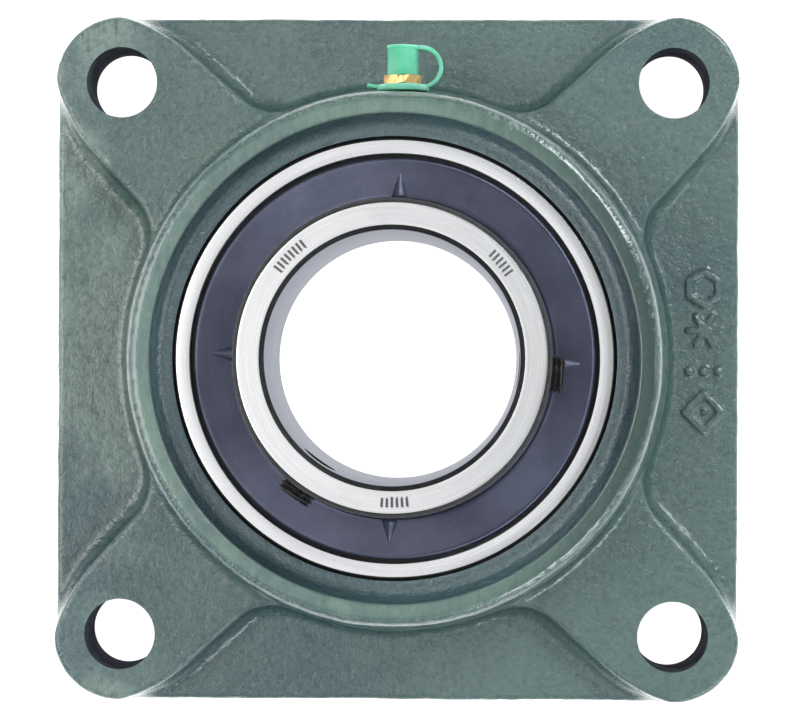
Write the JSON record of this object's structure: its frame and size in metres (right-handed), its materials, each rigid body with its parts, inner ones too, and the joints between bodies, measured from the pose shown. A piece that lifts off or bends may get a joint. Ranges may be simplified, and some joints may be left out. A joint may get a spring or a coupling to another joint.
{
  "type": "flange mount bearing",
  "caption": "Square flange bearing unit: cast housing, self-aligning ball bearing insert with set-screw locking, and a capped grease nipple.",
  "frame": {"origin": "centre of the mounting face, on the shaft's axis", "axes": "+Z along the shaft's axis from the mounting face towards the set-screw side, +Y towards the grease nipple"},
  "size_m": [0.187, 0.187, 0.0697],
  "materials": {
    "painted_casting": "gloss",
    "ground_steel": "satin",
    "ground_steel_inner": "satin",
    "blued_steel": "satin",
    "seal_steel": "satin",
    "seal_rubber": "matte",
    "cage_steel": "satin",
    "rivet_steel": "satin",
    "black_screw_steel": "satin",
    "nipple_brass": "satin",
    "ball_steel": "polished",
    "spring_steel": "satin",
    "cap_plastic": "gloss"
  },
  "bodies": {
    "housing": {"housing": "painted_casting", "grease_nipple": "nipple_brass", "cap_ring": "cap_plastic"},
    "outer_race": {"outer_ring": "ground_steel", "front_seal_core": "seal_steel", "front_seal_rubber": "seal_rubber", "rear_seal_core": "seal_steel", "rear_seal_rubber": "seal_rubber"},
    "inner_race": {"inner_ring": "ground_steel_inner", "front_slinger": "blued_steel", "rear_slinger": "blued_steel"},
    "cage": {"cage_front": "cage_steel", "cage_rear": "cage_steel", "cage_rivets": "rivet_steel"},
    "ball_01": {"ball_01": "ball_steel"},
    "ball_02": {"ball_02": "ball_steel"},
    "ball_03": {"ball_03": "ball_steel"},
    "ball_04": {"ball_04": "ball_steel"},
    "ball_05": {"ball_05": "ball_steel"},
    "ball_06": {"ball_06": "ball_steel"},
    "ball_07": {"ball_07": "ball_steel"},
    "ball_08": {"ball_08": "ball_steel"},
    "ball_09": {"ball_09": "ball_steel"},
    "ball_10": {"ball_10": "ball_steel"},
    "screw_a": {"set_screw_a": "black_screw_steel"},
    "screw_b": {"set_screw_b": "black_screw_steel"},
    "cap": {"nipple_cap": "cap_plastic", "cap_strap": "cap_plastic"},
    "check_ball": {"check_ball": "ball_steel", "check_spring": "spring_steel"}
  },
  "joints": [
    {"name": "self_align", "type": "hinge", "parent": "housing", "child": "outer_race", "pos_m": [0, 0, 0.03], "axis": [1, 0, 0], "range_deg": [-2, 2]},
    {"name": "shaft_spin", "type": "hinge", "parent": "outer_race", "child": "inner_race", "pos_m": [0, 0, 0.03], "axis": [0, 0, 1], "continuous": true},
    {"name": "cage_orbit", "type": "hinge", "parent": "outer_race", "child": "cage", "pos_m": [0, 0, 0.03], "axis": [0, 0, 1], "continuous": true},
    {"name": "ball_01_spin", "type": "hinge", "parent": "cage", "child": "ball_01", "pos_m": [0.04625, 0, 0.03], "axis": [0, 0, 1], "continuous": true},
    {"name": "ball_02_spin", "type": "hinge", "parent": "cage", "child": "ball_02", "pos_m": [0.03742, 0.02719, 0.03], "axis": [0, 0, 1], "continuous": true},
    {"name": "ball_03_spin", "type": "hinge", "parent": "cage", "child": "ball_03", "pos_m": [0.01429, 0.04399, 0.03], "axis": [0, 0, 1], "continuous": true},
    {"name": "ball_04_spin", "type": "hinge", "parent": "cage", "child": "ball_04", "pos_m": [-0.01429, 0.04399, 0.03], "axis": [0, 0, 1], "continuous": true},
    {"name": "ball_05_spin", "type": "hinge", "parent": "cage", "child": "ball_05", "pos_m": [-0.03742, 0.02719, 0.03], "axis": [0, 0, 1], "continuous": true},
    {"name": "ball_06_spin", "type": "hinge", "parent": "cage", "child": "ball_06", "pos_m": [-0.04625, 0, 0.03], "axis": [0, 0, 1], "continuous": true},
    {"name": "ball_07_spin", "type": "hinge", "parent": "cage", "child": "ball_07", "pos_m": [-0.03742, -0.02719, 0.03], "axis": [0, 0, 1], "continuous": true},
    {"name": "ball_08_spin", "type": "hinge", "parent": "cage", "child": "ball_08", "pos_m": [-0.01429, -0.04399, 0.03], "axis": [0, 0, 1], "continuous": true},
    {"name": "ball_09_spin", "type": "hinge", "parent": "cage", "child": "ball_09", "pos_m": [0.01429, -0.04399, 0.03], "axis": [0, 0, 1], "continuous": true},
    {"name": "ball_10_spin", "type": "hinge", "parent": "cage", "child": "ball_10", "pos_m": [0.03742, -0.02719, 0.03], "axis": [0, 0, 1], "continuous": true},
    {"name": "set_screw_a_travel", "type": "slide", "parent": "inner_race", "child": "screw_a", "axis": [0.9954, -0.0958, 0], "range_m": [-0.0015, 0.006]},
    {"name": "set_screw_b_travel", "type": "slide", "parent": "inner_race", "child": "screw_b", "axis": [-0.5807, -0.8141, 0], "range_m": [-0.0015, 0.006]},
    {"name": "cap_pull", "type": "slide", "parent": "housing", "child": "cap", "axis": [0, 1, 0], "range_m": [0, 0.009], "deforming": ["cap_strap"]},
    {"name": "check_ball_press", "type": "slide", "parent": "housing", "child": "check_ball", "axis": [0, -1, 0], "range_m": [0, 0.001], "stiffness_N_per_m": 200, "springref_m": -0.0005, "deforming": ["check_spring"]}
  ],
  "couplings": [
    {"joint": "cage_orbit", "follows": "shaft_spin", "ratio": 0.4099},
    {"joint": "ball_01_spin", "follows": "shaft_spin", "ratio": -2.6845},
    {"joint": "ball_02_spin", "follows": "shaft_spin", "ratio": -2.6845},
    {"joint": "ball_03_spin", "follows": "shaft_spin", "ratio": -2.6845},
    {"joint": "ball_04_spin", "follows": "shaft_spin", "ratio": -2.6845},
    {"joint": "ball_05_spin", "follows": "shaft_spin", "ratio": -2.6845},
    {"joint": "ball_06_spin", "follows": "shaft_spin", "ratio": -2.6845},
    {"joint": "ball_07_spin", "follows": "shaft_spin", "ratio": -2.6845},
    {"joint": "ball_08_spin", "follows": "shaft_spin", "ratio": -2.6845},
    {"joint": "ball_09_spin", "follows": "shaft_spin", "ratio": -2.6845},
    {"joint": "ball_10_spin", "follows": "shaft_spin", "ratio": -2.6845}
  ]
}
